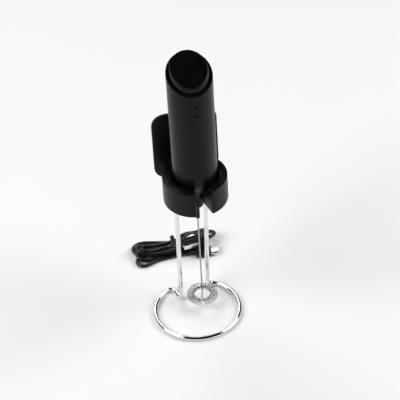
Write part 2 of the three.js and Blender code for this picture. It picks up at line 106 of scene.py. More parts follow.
# ---------------------------------------------------------------- materials
class Surface:
    """A Principled material whose colour, roughness and relief vary over the surface."""

    def __init__(self, name, color, roughness, metallic=0.0, gloss=0.5):
        self.material = bpy.data.materials.new(name)
        self.material.use_nodes = True
        self.tree = self.material.node_tree
        self.shader = self.tree.nodes["Principled BSDF"]
        self.color = color
        self.roughness = roughness
        self.shader.inputs["Base Color"].default_value = (*color, 1)
        self.shader.inputs["Roughness"].default_value = roughness
        self.shader.inputs["Metallic"].default_value = metallic
        self.shader.inputs["Specular IOR Level"].default_value = gloss
        self.place = self.tree.nodes.new("ShaderNodeTexCoord").outputs["Object"]

    def link(self, source, target):
        self.tree.links.new(source, target)

    def noise(self, size, detail, stretch):
        """Noise whose features are about size metres across, drawn out along the axes by stretch."""
        mapping = self.tree.nodes.new("ShaderNodeMapping")
        mapping.inputs["Scale"].default_value = [1 / s for s in stretch]
        self.link(self.place, mapping.inputs["Vector"])
        noise = self.tree.nodes.new("ShaderNodeTexNoise")
        noise.inputs["Scale"].default_value = 1 / size
        noise.inputs["Detail"].default_value = detail
        self.link(mapping.outputs["Vector"], noise.inputs["Vector"])
        return noise.outputs["Fac"]

    def spread(self, factor, low, high):
        """The factor's middle part, stretched to run from low to high."""
        ranged = self.tree.nodes.new("ShaderNodeMapRange")
        ranged.inputs["From Min"].default_value = 0.3
        ranged.inputs["From Max"].default_value = 0.7
        ranged.inputs["To Min"].default_value = low
        ranged.inputs["To Max"].default_value = high
        self.link(factor, ranged.inputs["Value"])
        return ranged.outputs["Result"]

    def mottled(self, size, share, stretch=(1, 1, 1)):
        """The colour is darker and lighter by that share in soft patches."""
        ramp = self.tree.nodes.new("ShaderNodeValToRGB")
        ramp.color_ramp.elements[0].position = 0.3
        ramp.color_ramp.elements[1].position = 0.7
        ramp.color_ramp.elements[0].color = (*[c * (1 - share) for c in self.color], 1)
        ramp.color_ramp.elements[1].color = (*[min(1, c * (1 + share)) for c in self.color], 1)
        self.link(self.noise(size, 4, stretch), ramp.inputs["Fac"])
        self.link(ramp.outputs["Color"], self.shader.inputs["Base Color"])
        return self

    def worn(self, size, share, stretch=(1, 1, 1)):
        """The roughness wanders by that share, as handling leaves it."""
        low, high = self.roughness * (1 - share), self.roughness * (1 + share)
        self.link(self.spread(self.noise(size, 5, stretch), low, high), self.shader.inputs["Roughness"])
        return self

    def relief(self, size, depth, stretch=(1, 1, 1)):
        """Bumps about size metres across and depth metres high."""
        bump = self.tree.nodes.new("ShaderNodeBump")
        bump.inputs["Distance"].default_value = depth
        bump.inputs["Strength"].default_value = 1
        self.link(self.noise(size, 3, stretch), bump.inputs["Height"])
        self.link(bump.outputs["Normal"], self.shader.inputs["Normal"])
        return self


def fine_plastic(name, color, roughness, grain, gloss=0.5):
    """Moulded plastic with a spark-eroded grain, about a sixteenth as deep as wide."""
    return (Surface(name, color, roughness, 0.0, gloss).mottled(0.012, 0.06).worn(0.02, 0.12)
            .relief(grain, grain * 0.06).material)


def drawn_metal(name, color, roughness, stretch=(1, 1, 1)):
    """Metal wire or sheet with faint drawing lines along stretch."""
    return (Surface(name, color, roughness, 1.0).mottled(0.006, 0.05, stretch)
            .worn(0.003, 0.25, stretch).relief(0.0004, 0.00001, stretch).material)


PLASTICS = {                 # colour, roughness, size of the grain in metres, gloss
    "satin_black": ((0.003, 0.003, 0.003), 0.33, 0.00022, 0.15),
    "holder_black": ((0.0025, 0.0025, 0.0025), 0.36, 0.0003, 0.16),
    "cap_black": ((0.001, 0.001, 0.001), 0.3, 0.0002, 0.24),
    "rubber_black": ((0.006, 0.006, 0.006), 0.6, 0.0004, 0.3),
    "plug_black": ((0.004, 0.004, 0.004), 0.45, 0.00035, 0.35),
    "cable_black": ((0.003, 0.003, 0.003), 0.3, 0.0003, 0.5),
    "lens_smoke": ((0.002, 0.002, 0.002), 0.2, 0.0005, 0.05),
    "board_green": ((0.02, 0.12, 0.05), 0.4, 0.0006),
    "cell_blue": ((0.03, 0.11, 0.33), 0.25, 0.001),
    "foam_grey": ((0.28, 0.285, 0.29), 0.9, 0.0008),
    "inner_white": ((0.72, 0.72, 0.70), 0.5, 0.0003),
    "lead_red": ((0.42, 0.02, 0.02), 0.45, 0.0003),
}
METALS = {                   # colour, roughness, how far the drawing lines stretch along each axis
    "chrome": ((0.80, 0.81, 0.82), 0.08),
    "steel": ((0.36, 0.355, 0.35), 0.22),
    "motor_steel": ((0.52, 0.53, 0.54), 0.34, (1, 1, 8)),
    "brass": ((0.58, 0.40, 0.15), 0.24, (8, 8, 1)),
    "nickel": ((0.95, 0.93, 0.89), 0.3),
}
LOOKS = {name: fine_plastic(name, *look) for name, look in PLASTICS.items()}
LOOKS.update({name: drawn_metal(name, *look) for name, look in METALS.items()})
SLOT_OF = {s["node"]: s["material_slot"] for s in frame["record"]["subparts"]}
BODY_OF = {n: b for b, nodes in frame["record"]["behaviour"]["bodies"].items() for n in nodes}


# ---------------------------------------------------------------- making pieces
SHARP = 32                   # edges that turn by more degrees than this stay crisp


def shaded(mesh, sharp_degrees=SHARP):
    mesh.shade_smooth()
    mesh.set_sharp_from_angle(angle=math.radians(sharp_degrees))


def new_mesh(name, points, faces, sharp_degrees=SHARP):
    """A mesh object from points in metres. Faces are turned outwards."""
    mesh = bpy.data.meshes.new(name)
    mesh.from_pydata([tuple(p) for p in points], [], faces)
    work = bmesh.new()
    work.from_mesh(mesh)
    bmesh.ops.remove_doubles(work, verts=work.verts, dist=1e-7)
    bmesh.ops.recalc_face_normals(work, faces=work.faces)
    work.to_mesh(mesh)
    work.free()
    shaded(mesh, sharp_degrees)
    piece = bpy.data.objects.new(name, mesh)
    bpy.context.scene.collection.objects.link(piece)
    return piece


def stand_for(piece, *nodes):
    """The piece takes the place, body and material slot of these CAD nodes."""
    slot = SLOT_OF[nodes[0]]
    piece.data.materials.clear()
    piece.data.materials.append(LOOKS[slot])
    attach(piece, BODY_OF[nodes[0]])
    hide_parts(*nodes)
    return piece


def grid_faces(rows, columns, close_rows=False, close_columns=True):
    """Quads of a grid of points, stored row by row."""
    faces = []
    for i in range(rows if close_rows else rows - 1):
        for j in range(columns if close_columns else columns - 1):
            a, b = i * columns, (i + 1) % rows * columns
            k = (j + 1) % columns
            faces.append((a + j, a + k, b + k, b + j))
    return faces


def solid(name, rings):
    """A closed piece from rings of points in millimetres, all of one count, capped at both ends."""
    rows, columns = len(rings), len(rings[0])
    ends = [tuple(range(columns)), tuple(range((rows - 1) * columns, rows * columns))]
    return new_mesh(name, world(np.concatenate(rings)), grid_faces(rows, columns) + ends)


def moved(points, place):
    """Points turned and shifted by a matrix."""
    return points @ np.array(place.to_3x3()).T + np.array(place.translation)


def quarter_round(edge):
    """A rounded rim from its flat side to its wall, as (inset, rise)."""
    return [(edge * (1 - math.sin(a)), edge * (1 - math.cos(a))) for a in np.radians([0, 30, 60, 90])]


def rounded_outline(corners, steps=5, closed=True):
    """A flat line of points with its corners rounded. Each corner is (a, b, radius)."""
    found = []
    count = len(corners)
    for i, (a, b, radius) in enumerate(corners):
        here = np.array([a, b], float)
        if not radius or (not closed and i in (0, count - 1)):
            found.append(here)
            continue
        back = np.array(corners[i - 1][:2], float) - here
        ahead = np.array(corners[(i + 1) % count][:2], float) - here
        back_length, ahead_length = np.linalg.norm(back), np.linalg.norm(ahead)
        back, ahead = back / back_length, ahead / ahead_length
        half = math.acos(np.clip(back @ ahead, -1, 1)) / 2
        reach = min(radius / math.tan(half), 0.499 * back_length, 0.499 * ahead_length)
        radius = reach * math.tan(half)
        centre = here + (back + ahead) / np.linalg.norm(back + ahead) * radius / math.sin(half)
        start, end = here + back * reach - centre, here + ahead * reach - centre
        turn = math.atan2(start[0] * end[1] - start[1] * end[0], start @ end)
        for k in range(steps + 1):
            c, s = math.cos(turn * k / steps), math.sin(turn * k / steps)
            found.append(centre + [c * start[0] - s * start[1], s * start[0] + c * start[1]])
    return found


def lathe(name, profile, segments, lean=None, sharp_degrees=SHARP):
    """Turned about the frother's axis from a closed line of (radius, height) in millimetres.

    lean(x, y, z) moves each point.
    """
    points = []
    for r, z in profile:
        for k in range(segments):
            angle = 2 * math.pi * k / segments
            place = (r * math.cos(angle), r * math.sin(angle), z)
            points.append(lean(*place) if lean else place)
    faces = grid_faces(len(profile), segments, close_rows=True)
    return new_mesh(name, world(points), faces, sharp_degrees)


def frames_along(points):
    """Unit tangents and two normals that don't twist, for a line of points."""
    steps = np.diff(points, axis=0)
    steps /= np.linalg.norm(steps, axis=1)[:, None]
    tangents = np.vstack([steps[:1], steps[:-1] + steps[1:], steps[-1:]])
    tangents /= np.linalg.norm(tangents, axis=1)[:, None]
    first = np.cross(tangents[0], [0.3, 0.2, 1.0])
    normal = first / np.linalg.norm(first)
    normals = []
    for tangent in tangents:
        normal = normal - tangent * (normal @ tangent)
        normal /= np.linalg.norm(normal)
        normals.append(normal)
    normals = np.array(normals)
    return tangents, normals, np.cross(tangents, normals)


def sweep(points, section, sizes):
    """Rings of a section, (across, up), along a line of points, each ring scaled by its size."""
    _, normals, binormals = frames_along(points)
    return [
        place + size * (np.outer(section[:, 0], normal) + np.outer(section[:, 1], binormal))
        for place, normal, binormal, size in zip(points, normals, binormals, sizes)
    ]


def circle(radius, sides):
    turns = 2 * np.pi * np.arange(sides) / sides
    return radius * np.stack([np.cos(turns), np.sin(turns)], axis=1)


DOME = 0.6                   # height of a wire's domed end, as a share of its radius


def wire(name, points, radius, sides):
    """A round wire along points in millimetres about the frother's axis, with domed ends."""
    points = np.array(points, float)
    tangents = frames_along(points)[0]
    dome = np.radians([72, 45, 20])
    start = [points[0] - tangents[0] * radius * math.sin(a) * DOME for a in dome]
    end = [points[-1] + tangents[-1] * radius * math.sin(a) * DOME for a in dome[::-1]]
    sizes = [*np.cos(dome), *np.ones(len(points)), *np.cos(dome[::-1])]
    line = np.vstack([start, points, end])
    return solid(name, sweep(line, circle(radius, sides), sizes))


def combine(piece, others, operation):
    """Applies the others to the piece as solids, one after another, and removes them."""
    for other in others:
        step = piece.modifiers.new("step", "BOOLEAN")
        step.operation = operation
        step.solver = "EXACT"
        step.object = other
        apply_modifiers(piece)
        bpy.data.objects.remove(other)
    return piece


def drill(piece, *tools):
    return combine(piece, tools, "DIFFERENCE")


def weld_on(piece, *others):
    return combine(piece, others, "UNION")


def apply_modifiers(piece):
    bpy.context.view_layer.update()
    shown = piece.evaluated_get(bpy.context.evaluated_depsgraph_get())
    mesh = bpy.data.meshes.new_from_object(shown)
    old = piece.data
    piece.modifiers.clear()
    piece.data = mesh
    mesh.name = old.name
    bpy.data.meshes.remove(old)
    shaded(mesh)


def prism(name, outline, low, high, edge=0.0, place=None):
    """A flat outline in millimetres raised from low to high, with its rims rounded by edge."""
    levels = [(low, 0.0), (high, 0.0)]
    if edge:
        rim = quarter_round(edge)
        levels = [(low + up, inset) for inset, up in rim] + [(high - up, inset) for inset, up in rim[::-1]]
    flat = np.array(outline, float)
    ahead, back = np.roll(flat, -1, axis=0) - flat, flat - np.roll(flat, 1, axis=0)
    ahead /= np.linalg.norm(ahead, axis=1)[:, None]
    back /= np.linalg.norm(back, axis=1)[:, None]
    along = ahead + back
    along /= np.linalg.norm(along, axis=1)[:, None]
    inward = np.stack([-along[:, 1], along[:, 0]], axis=1)
    square = np.stack([-ahead[:, 1], ahead[:, 0]], axis=1)
    inward /= np.maximum((inward * square).sum(1), 0.3)[:, None]
    rings = [np.column_stack([flat + inward * inset, np.full(len(flat), z)]) for z, inset in levels]
    if place is not None:
        rings = [moved(ring, place) for ring in rings]
    return solid(name, rings)


def rectangle(width, height, corner, steps=6):
    x, y = width / 2, height / 2
    return rounded_outline([(x, -y, corner), (x, y, corner), (-x, y, corner), (-x, -y, corner)], steps)


def rounded_line(corners, steps=8):
    """A line in space with its corners rounded. Each corner is (point, bend radius)."""
    found = []
    for i, (here, radius) in enumerate(corners):
        here = np.array(here, float)
        if not radius or i in (0, len(corners) - 1):
            found.append(here)
            continue
        back, ahead = np.array(corners[i - 1][0]) - here, np.array(corners[i + 1][0]) - here
        back, ahead = back / np.linalg.norm(back), ahead / np.linalg.norm(ahead)
        half = math.acos(np.clip(back @ ahead, -1, 1)) / 2
        reach = radius / math.tan(half)
        centre = here + (back + ahead) / np.linalg.norm(back + ahead) * radius / math.sin(half)
        start, end = here + back * reach - centre, here + ahead * reach - centre
        turn = math.pi - 2 * half
        for t in np.linspace(0, 1, steps + 1):
            spoke = math.sin((1 - t) * turn) * start + math.sin(t * turn) * end
            found.append(centre + spoke / math.sin(turn))
    return found


def loft(name, sections, place):
    """Skins rounded rectangles set across the X axis. Each is (x, width, height, corner radius)."""
    rings = []
    for x, width, height, corner in sections:
        outline = rectangle(width, height, corner, 5)
        rings.append(moved(np.array([(x, across, up) for across, up in outline]), place))
    return solid(name, rings)


def softened(x_from, x_to, width, height, corner, edge, steps=4):
    """Sections of a bar with rounded ends."""
    turns = [math.pi / 2 * k / steps for k in range(steps + 1)]
    way = 1 if x_to > x_from else -1
    sections = []
    for x, inward, turn in [(x_from, way, t) for t in turns] + [(x_to, -way, t) for t in turns[::-1]]:
        inset = edge * (1 - math.sin(turn))
        sections.append((x + inward * edge * (1 - math.cos(turn)), width - 2 * inset,
                         height - 2 * inset, max(corner - inset, 0.05)))
    return sections


# ---------------------------------------------------------------- wire stand
WIRE_R = 1.75
RING_R = 33
RING_MIDDLE = (-5.9, -6.2)
HOLDER_Z = 111
HOLDER_TOP = 132.4
SOCKETS = {"left": (-12.2, 17.65), "right": (11, 17.65)}
FEET = {"left": (-15.6, 7.7), "right": (8.9, 20.1)}
ROD_IN_SOCKET = 8.4
SOCKET_DEPTH = 9


def rod_line(side):
    """The rod's foot, the mouth of its socket, and its direction."""
    low = np.array([*FEET[side], WIRE_R])
    mouth = np.array([*SOCKETS[side], HOLDER_Z])
    direction = (mouth - low) / np.linalg.norm(mouth - low)
    return low, mouth, direction


def on_ring(degrees):
    turn = math.radians(degrees)
    x, y = RING_MIDDLE
    return x + RING_R * math.cos(turn), y + RING_R * math.sin(turn), WIRE_R


def make_wire_stand():
    """Down the right rod, round the base ring by the front, inwards, and up the left rod."""
    left_low, left_mouth, left_way = rod_line("left")
    right_low, right_mouth, right_way = rod_line("right")
    left_end = left_mouth + left_way * ROD_IN_SOCKET
    right_end = right_mouth + right_way * ROD_IN_SOCKET
    corners = [(right_end, 0), (right_low, 5), (on_ring(47), 8)]
    corners += [(on_ring(degrees), 0) for degrees in np.linspace(37, -236, 120)]
    corners += [(on_ring(-248), 4.5), (left_low, 5), (left_end, 0)]
    stand_for(wire("stand_wire", rounded_line(corners, 10), WIRE_R, 24), "wire_stand")


make_wire_stand()

# ---------------------------------------------------------------- holder
COLLAR_R = 24.4
COLLAR_X = -0.5
BORE = [(6.2, 111), (6.1, 112), (6.4, 115), (7, 117), (8.3, 119.3), (10.3, 121.7), (12.5, 124),
        (14.3, 126.6), (15.8, 129.2), (17.3, 131.6), (17.3, 133.0)]
FLARE = 3.8                       # radius of the rounding where the slot meets the top
SLOT_LEFT = (3.2, 0.174)          # reach from the middle, and how much more each mm further out
SLOT_RIGHT = (2.4, 0.293)
SLOT_FROM = 9                     # the slot widens beyond this distance from the axis
OUTER_CORNER = 1.3
INNER_CORNER = 0.7
HOLDER_EDGE = 0.35
ARM = [(-15, 18.2), (15, 18.2), (15, 29.2), (-15, 29.2)]
PLATE_Y = 28
PLATE_TOP = 170
PLATE_W = 50
PLATE_T = 3
PLATE_CORNER = 10
PAD_MARGIN = 3
PAD_T = 0.9


def collar_outline(z, inset):
    """The collar cut across at a height: round the outside, in along the slot, and back round the bore."""
    bore = np.interp(z, [p[1] for p in BORE], [p[0] for p in BORE]) + inset
    outer = COLLAR_R - inset
    over = max(z - (HOLDER_TOP - FLARE), 0)
    wider = inset + FLARE - math.sqrt(FLARE ** 2 - min(over, 0.97 * FLARE) ** 2)

    def slot_corner(radius, middle, side, sign):
        y = radius
        for _ in range(12):
            x = sign * (side[0] + max(y - SLOT_FROM, 0) * side[1] + wider)
            y = math.sqrt(max(radius ** 2 - (x - middle) ** 2, 1))
        return x, -y

    def arc(radius, middle, start, end, margin):
        """From one slot corner to the other, round by the back, keeping clear of both by margin mm."""
        first = math.atan2(start[1], start[0] - middle) % (2 * math.pi)
        last = math.atan2(end[1], end[0] - middle) % (2 * math.pi)
        if first > last:
            first -= 2 * math.pi
        step = margin / radius
        return [(middle + radius * math.cos(a), radius * math.sin(a), 0)
                for a in np.linspace(first + step, last - step, 110)]

    outer_right = slot_corner(outer, COLLAR_X, SLOT_RIGHT, 1)
    outer_left = slot_corner(outer, COLLAR_X, SLOT_LEFT, -1)
    inner_right = slot_corner(bore, 0, SLOT_RIGHT, 1)
    inner_left = slot_corner(bore, 0, SLOT_LEFT, -1)
    corners = arc(outer, COLLAR_X, outer_right, outer_left, 2.2)
    corners += [(*outer_left, OUTER_CORNER), (*inner_left, INNER_CORNER)]
    corners += arc(bore, 0, inner_right, inner_left, 1.3)[::-1]
    corners += [(*inner_right, INNER_CORNER), (*outer_right, OUTER_CORNER)]
    return rounded_outline(corners, 4)


def make_collar():
    rim = quarter_round(HOLDER_EDGE)
    levels = [(HOLDER_Z + up, inset) for inset, up in rim] + [(z, 0) for z in (112.5, 114)]
    levels += [(z, 0) for z in np.arange(115, 129, 1.0)] + [(z, 0) for z in np.arange(129, 132, 0.5)]
    levels += [(HOLDER_TOP - up, inset) for inset, up in rim[::-1]]
    rings = [[(x, y, z) for x, y in collar_outline(z, inset)] for z, inset in levels]
    return solid("holder_moulding", rings)


def upright(y, z):
    """Turns a flat piece to face the front, its first face at y."""
    return Matrix.Translation((0, y, z)) @ Matrix.Rotation(math.pi / 2, 4, "X")


def socket_hole(side):
    _, mouth, direction = rod_line(side)
    line = [mouth - direction * 4, mouth, mouth + direction * SOCKET_DEPTH]
    return wire("socket", line, WIRE_R + 0.3, 32)


def make_holder():
    collar = make_collar()
    middle_z = (HOLDER_Z + PLATE_TOP) / 2
    height = PLATE_TOP - HOLDER_Z
    arm = prism("arm", ARM, HOLDER_Z, HOLDER_TOP, HOLDER_EDGE)
    plate = prism("plate", rectangle(PLATE_W, height, PLATE_CORNER, 12), 0, PLATE_T, 0.8,
                  upright(PLATE_Y + PLATE_T, middle_z))
    weld_on(collar, arm, plate)
    drill(collar, socket_hole("left"), socket_hole("right"))
    stand_for(collar, "stand_holder")
    outline = rectangle(PLATE_W - 2 * PAD_MARGIN, height - 2 * PAD_MARGIN, PLATE_CORNER - PAD_MARGIN, 10)
    pad = prism("wall_pad", outline, 0, PAD_T, 0.15, upright(PLATE_Y + 4.2, middle_z))
    stand_for(pad, "adhesive_pad")


make_holder()

# ---------------------------------------------------------------- handle
NECK_Z = 102.8
SEAM_Z = 226.5
SLANT = math.tan(math.radians(26.5))
BODY_R = 16.85
TOP_R = 16.95
RIM_INNER_R = 15.6
RIM_TOP = -0.9                    # below the seam, as are the next two
RIM_START = -1.3
LEDGE_DEPTH = -4.2                # the ledge under the cap
RIM_OUTER_ROUND = 0.45
RIM_INNER_ROUND = 0.25
LEDGE_R = 14.5
LEVEL_Z = 175                     # below it the rows are level
LENS_Z = (199.2, 207.1)
LENS_R = 1.1
PORT_Z = 182
HANDLE_LINE = [                   # radius, height, rounding
    (4.4, NECK_Z, 0), (5.2, NECK_Z + 1.4, 0.6), (5.4, 110, 30), (6.1, 116.5, 20), (7.2, 119.5, 12),
    (9, 122, 12), (11.4, 124.6, 14), (13.2, 127, 14), (15, 130, 14), (16.3, 134, 16), (16.8, 140, 50),
    (BODY_R, LEVEL_Z, 0),
]
INNER_LINE = [(14.45, LEVEL_Z), (14.4, 137), (13, 131.6), (11.4, 128), (9, 124.6), (6.4, 121.6),
              (4.4, 118.5), (3.9, 115.5), (3.9, NECK_Z + 0.4), (4.1, NECK_Z)]


def slanted(x, y, z):
    """A point at height z above the slanted seam."""
    return x, y, z + SEAM_Z + SLANT * y


def make_housing():
    """The rows above LEVEL_Z rise more at the back, to meet the slanted rim."""
    segments = 128
    turns = 2 * np.pi * np.arange(segments) / segments
    rows = []

    def row(radius, height):
        rows.append([(radius * math.cos(a), radius * math.sin(a), height) for a in turns])

    def rising_row(radius, share):
        rim = [SEAM_Z + RIM_START + SLANT * radius * math.sin(a) for a in turns]
        rows.append([(radius * math.cos(a), radius * math.sin(a), LEVEL_Z + share * (z - LEVEL_Z))
                     for a, z in zip(turns, rim)])

    def rim_row(radius, height):
        rows.append([slanted(radius * math.cos(a), radius * math.sin(a), height) for a in turns])

    for radius, height in rounded_outline(HANDLE_LINE, 5, closed=False):
        row(radius, height)
    for share in np.linspace(0.08, 0.98, 16):
        rising_row(BODY_R + 0.1 * share, share)
    for turn in np.radians([0, 18, 36, 54, 72, 90]):
        rim_row(TOP_R - RIM_OUTER_ROUND * (1 - math.cos(turn)),
                RIM_TOP - RIM_OUTER_ROUND * (1 - math.sin(turn)))
    for turn in np.radians([90, 60, 30, 0]):
        rim_row(RIM_INNER_R + RIM_INNER_ROUND * (1 - math.cos(turn)),
                RIM_TOP - RIM_INNER_ROUND * (1 - math.sin(turn)))
    rim_row(RIM_INNER_R, LEDGE_DEPTH)
    rim_row(LEDGE_R, LEDGE_DEPTH)
    for share in (0.85, 0.5, 0.2):
        rising_row(LEDGE_R, share)
    for radius, height in INNER_LINE:
        row(radius, height)
    cloud = np.array(rows).reshape(-1, 3)
    shell = new_mesh("handle_shell", world(cloud), grid_faces(len(rows), segments, close_rows=True))
    facing = Matrix.Rotation(math.pi / 2, 4, "X")
    for z in LENS_Z:
        front = Matrix.Translation((0, -10, z)) @ facing
        drill(shell, prism("hole", circle(LENS_R, 40), 0, 10, 0, front))
    back = Matrix.Translation((0, 20, PORT_Z)) @ facing
    drill(shell, prism("hole", rectangle(9.8, 4, 1.9, 8), 0, 10, 0, back))
    stand_for(shell, "housing")


def make_cap():
    """Its stem and skirt below, the flat wall, the bevelled edge, and the slightly hollow top."""
    under = [(0.02, -3.2), (2, -3.2), (2, 1), (11.2, 1), (11.2, -5), (12.6, -5), (12.6, -2),
             (14.35, -2), (14.45, -1.9)]
    wall = [(14.45, -0.6), (14.43, 0.2), (14.36, 1.0), (14.24, 1.8), (14.08, 2.5), (13.92, 3.1),
            (13.82, 3.4)]
    edge = [(13.74, 3.6), (13.6, 3.74), (13.4, 3.8), (13.2, 3.8)]
    top = [(r, 3.8 - 0.3 * (1 - (r / 13) ** 2)) for r in (12, 10, 7, 4, 2, 0.02)]
    stand_for(lathe("handle_cap", under + wall + edge + top, 128, slanted, 30), "button_cap")


make_housing()
make_cap()

# ---------------------------------------------------------------- whisk
WHISK_Z = 10.9
HOOP_R = 7.9
SHAFT_R = 0.6
SHAFT_TOP = 98.8
LEG_Z = 14.4                      # where the shaft turns out to the hoop
LEG_AT = -104                     # degrees round the hoop, as are the next four
HOOP_FROM, HOOP_SWEEP = -89, 335
COIL_FROM, COIL_SWEEP = -93, 341
COIL_TURNS = 34
COIL_STEPS = 20
COIL_LINE_R = 9.15
COIL_R = 2.6
COIL_WIRE_R = 0.25


def on_hoop(degrees):
    turn = math.radians(degrees)
    return (HOOP_R * math.cos(turn), HOOP_R * math.sin(turn), WHISK_Z)


def make_whisk():
    corners = [((0, 0, SHAFT_TOP), 0), ((0, 0, LEG_Z), 2), (on_hoop(LEG_AT), 1.2)]
    corners += [(on_hoop(HOOP_FROM + HOOP_SWEEP * i / 90), 0) for i in range(1, 91)]
    stand_for(wire("whisk_wire", rounded_line(corners, 8), SHAFT_R, 16), "whisk_shaft")

    spring = []
    for i in range(COIL_TURNS * COIL_STEPS + 1):
        along = math.radians(COIL_FROM + COIL_SWEEP * i / (COIL_TURNS * COIL_STEPS))
        turn = 2 * math.pi * i / COIL_STEPS
        r = COIL_LINE_R - COIL_R * math.cos(turn)
        spring.append((r * math.cos(along), r * math.sin(along), WHISK_Z + COIL_R * math.sin(turn)))
    stand_for(wire("whisk_spring", spring, COIL_WIRE_R, 8), "whisk_coil")

    outline = [(0.9, 99.3, 0), (0.9, 90, 0.2), (1.45, 90, 0.3), (1.7, 90.6, 0.3), (1.7, 103.1, 0.3),
               (1.45, 103.55, 0.2), (1.2, 103.6, 0), (1.2, 110.6, 0.2), (0.9, 110.9, 0),
               (0.02, 110.9, 0), (0.02, 99.3, 0)]
    stand_for(lathe("whisk_ferrule", rounded_outline(outline, 4), 48), "whisk_plug")


make_whisk()

# ---------------------------------------------------------------- plugs
def laid(position, yaw):
    """The place of a plug drawn along +X, the mouth of its metal shell at x = 0."""
    return Matrix.Translation(position) @ Matrix.Rotation(math.radians(yaw), 4, "Z")


PLUG_A = laid((-0.9, 63.8, 8.8), 185)
PLUG_C = laid((27.1, 54.8, 2.9), -7)
LARGE_SHELL = {"width": 12, "height": 4.5, "corner": 0.6, "length": 12, "wall": 0.35}
SMALL_SHELL = {"width": 8.34, "height": 2.56, "corner": 1.27, "length": 6.6, "wall": 0.3}
PORT_SHELL = {"width": 9, "height": 3.2, "corner": 1.55, "length": 6.6, "wall": 0.3}
WINDOW_ACROSS = 2.6               # the two latch windows in the large plug, from its middle


def hollow_shell(name, place, width, height, corner, length, wall):
    """A drawn metal shell, open at x = 0."""
    inner = (width - 2 * wall, height - 2 * wall, max(corner - wall, 0.2))
    sections = [
        (0.6 - length, *inner), (-0.15, *inner), (0, inner[0] + 0.15, inner[1] + 0.15, inner[2]),
        (0, width - 0.25, height - 0.25, corner), (-0.15, width, height, corner),
        (-length + 0.1, width, height, corner), (-length, width - 0.2, height - 0.2, corner),
    ]
    return loft(name, sections, place)


def ribbed(name, place, x_from, x_to, size_from, size_to, ribs, depth):
    """A round strain relief with grooves, its diameter going from size_from to size_to."""
    sections = []
    for k in range(ribs * 4 + 1):
        share = k / (ribs * 4)
        groove = depth if k % 4 in (2, 3) else 0
        size = size_from + (size_to - size_from) * share - groove
        x = x_from + (x_to - x_from) * share
        sections.append((x, size, size, size / 2 - 0.01))
    return loft(name, sections, place)


def gripped(name, place, x_from, x_to, width, height, corner, grooves):
    """An overmould with rounded ends and shallow grooves across its back half."""
    sections = softened(x_from, x_to, width, height, corner, 0.9)
    half = len(sections) // 2
    middle_rows = []
    start = x_from + (x_to - x_from) * 0.42
    pitch = (x_to - x_from) * 0.42 / grooves
    for k in range(grooves):
        at = start + pitch * k
        for offset, inset in ((0, 0), (0.12, 0.35), (0.38, 0.35), (0.5, 0)):
            middle_rows.append((at + pitch * offset, width - 2 * inset, height - 2 * inset,
                                corner - inset))
    return loft(name, sections[:half] + middle_rows + sections[half:], place)


def make_plugs():
    shell = hollow_shell("large_plug_shell", PLUG_A, **LARGE_SHELL)
    for across in (-WINDOW_ACROSS, WINDOW_ACROSS):
        place = PLUG_A @ Matrix.Translation((0, across, 2.25))
        drill(shell, loft("window", [(-7.2, 2.3, 2, 0.3), (-4.9, 2.3, 2, 0.3)], place))
    stand_for(shell, "usb_a_shell")
    stand_for(loft("large_plug_tongue", softened(-10.6, -0.8, 10, 1.4, 0.2, 0.15),
                   PLUG_A @ Matrix.Translation((0, 0, 0.8))), "usb_a_tongue")
    stand_for(gripped("large_plug_grip", PLUG_A, -12.2, -20.4, 13.4, 6, 2, 3), "usb_a_overmould")
    stand_for(ribbed("large_plug_relief", PLUG_A, -20.3, -22.9, 4.6, 3.8, 2, 0.5), "usb_a_strain_relief")
    stand_for(hollow_shell("small_plug_shell", PLUG_C, **SMALL_SHELL), "usb_c_shell")
    stand_for(loft("small_plug_tongue", softened(-5.8, -0.9, 6.4, 0.7, 0.3, 0.1), PLUG_C), "usb_c_tongue")
    stand_for(gripped("small_plug_grip", PLUG_C, -6.8, -19, 10.6, 5.2, 2, 4), "usb_c_overmould")
    stand_for(ribbed("small_plug_relief", PLUG_C, -18.9, -23, 4.4, 3.6, 3, 0.5), "usb_c_strain_relief")


def make_port():
    """The charging socket in the back of the handle."""
    place = Matrix.Translation((0, 16.3, PORT_Z)) @ Matrix.Rotation(math.pi / 2, 4, "Z")
    port = hollow_shell("charging_port", place, **PORT_SHELL)
    tongue = loft("tongue", softened(-6.2, -1, 6.6, 0.7, 0.3, 0.1), place)
    stand_for(weld_on(port, tongue), "usb_c_port")


TIE_X = -6.5
TIE_MIDDLE = (67, 5.2)
TIE_SIZE = (19.6, 9.4)
TIE_SECTION = [(-1.1, -0.2), (-0.9, -0.3), (0.9, -0.3), (1.1, -0.2),
               (1.1, 0.2), (0.9, 0.3), (-0.9, 0.3), (-1.1, 0.2)]
TWIST_FROM = (76.5, 4)            # (y, z) of the twisted ends' foot, and how far they reach
TWIST_REACH = (1.6, 2.4)
TWIST_WIDE, TWIST_THIN = 0.95, 0.5
TWIST_TURNS = 1.75


